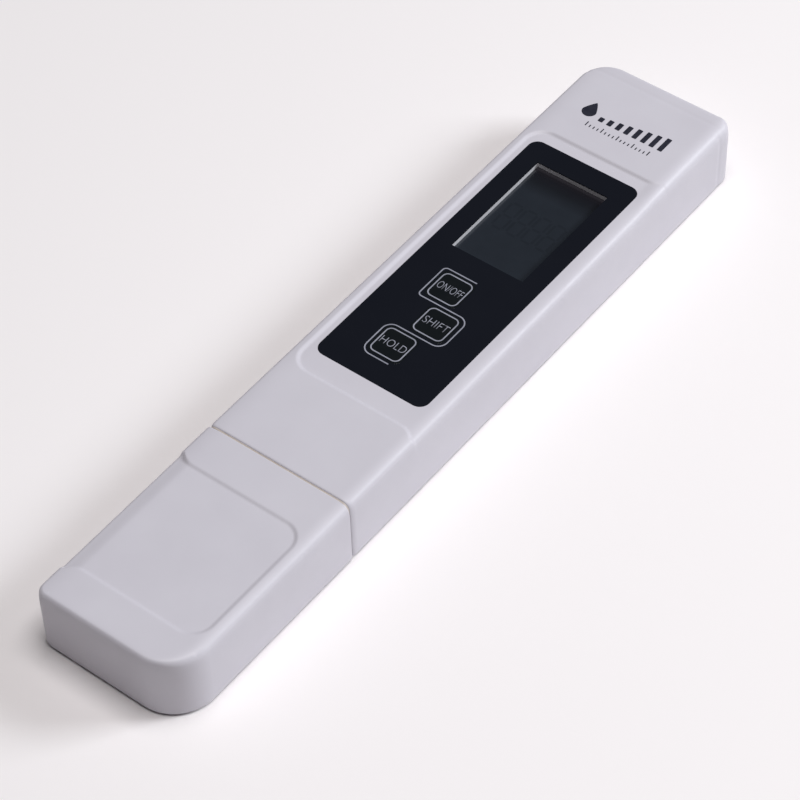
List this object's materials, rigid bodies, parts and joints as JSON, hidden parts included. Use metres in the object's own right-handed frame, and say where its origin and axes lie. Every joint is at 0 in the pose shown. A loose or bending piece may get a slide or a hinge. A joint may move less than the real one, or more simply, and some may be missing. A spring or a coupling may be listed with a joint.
{
  "type": "digital water tester",
  "caption": "Pen-shaped battery-powered water tester with a recessed display, square keys, a pull-off cap over the probe pins and a sliding rear battery door.",
  "frame": {"origin": "middle of the tester's outline, on the plane that its back rests on", "axes": "+X across the width, +Y along the length towards the display end, +Z out of the front face"},
  "size_m": [0.03, 0.156, 0.0136],
  "materials": {
    "shell_plastic": "fine satin, off-white with a cool tint",
    "rear_plastic": "fine matt, off-white",
    "overlay_gloss": "polished black",
    "key_gloss": "semi-gloss black",
    "display_glass": "polished dark grey",
    "frame_plastic": "white, matt",
    "strip_elastomer": "soft, matt",
    "seal_rubber": "matt black",
    "plug_plastic": "satin black",
    "pin_titanium": "drawn, satin",
    "plated_steel": "bright plated",
    "contact_nickel": "nickel-plated sheet",
    "board_laminate": "green solder mask",
    "blob_resin": "cast black resin",
    "trimmer_blue": "moulded blue",
    "switch_plastic": "moulded black",
    "red_sheath": "wire sheath",
    "grey_sheath": "wire sheath"
  },
  "bodies": {
    "housing": {"front_housing": "shell_plastic", "rear_cover": "rear_plastic", "cap_seal_ring": "seal_rubber", "probe_plug": "plug_plastic", "electrode_left": "pin_titanium", "electrode_right": "pin_titanium", "temperature_sensor": "plated_steel", "display_overlay": "overlay_gloss", "switch_body_power": "switch_plastic", "switch_body_shift": "switch_plastic", "switch_body_hold": "switch_plastic", "lcd_glass": "display_glass", "lcd_frame": "frame_plastic", "contact_strip_left": "strip_elastomer", "contact_strip_right": "strip_elastomer", "main_board": "board_laminate", "chip_blob": "blob_resin", "trimmer_body": "trimmer_blue", "crystal": "plated_steel", "battery_tray": "switch_plastic", "button_cell_lower": "plated_steel", "button_cell_upper": "plated_steel", "contact_positive": "contact_nickel", "contact_negative": "contact_nickel", "sensor_wire_left": "red_sheath", "sensor_wire_middle": "switch_plastic", "sensor_wire_right": "grey_sheath", "board_screw_1": "plated_steel", "board_screw_2": "plated_steel", "board_screw_3": "plated_steel", "board_screw_4": "plated_steel", "cover_screw_1": "plated_steel", "cover_screw_2": "plated_steel"},
    "cap": {"probe_cap": "shell_plastic"},
    "door": {"battery_door": "rear_plastic", "contact_link": "contact_nickel"},
    "power_key": {"key_power": "key_gloss", "switch_stem_power": "switch_plastic"},
    "shift_key": {"key_shift": "key_gloss", "switch_stem_shift": "switch_plastic"},
    "hold_key": {"key_hold": "key_gloss", "switch_stem_hold": "switch_plastic"},
    "rotor": {"trimmer_rotor": "frame_plastic"}
  },
  "joints": [
    {"name": "cap_pull", "type": "slide", "parent": "housing", "child": "cap", "axis": [0, -1, 0], "range_m": [0, 0.04]},
    {"name": "door_slide", "type": "slide", "parent": "housing", "child": "door", "axis": [0, 1, 0], "range_m": [0, 0.028]},
    {"name": "power_press", "type": "slide", "parent": "housing", "child": "power_key", "axis": [0, 0, -1], "range_m": [0, 0.00025], "stiffness_N_per_m": 1500},
    {"name": "shift_press", "type": "slide", "parent": "housing", "child": "shift_key", "axis": [0, 0, -1], "range_m": [0, 0.00025], "stiffness_N_per_m": 1500},
    {"name": "hold_press", "type": "slide", "parent": "housing", "child": "hold_key", "axis": [0, 0, -1], "range_m": [0, 0.00025], "stiffness_N_per_m": 1500},
    {"name": "trimmer_turn", "type": "hinge", "parent": "housing", "child": "rotor", "pos_m": [0.006, 0.03, 0.0042], "axis": [0, 0, 1], "range_deg": [-130, 130]}
  ]
}
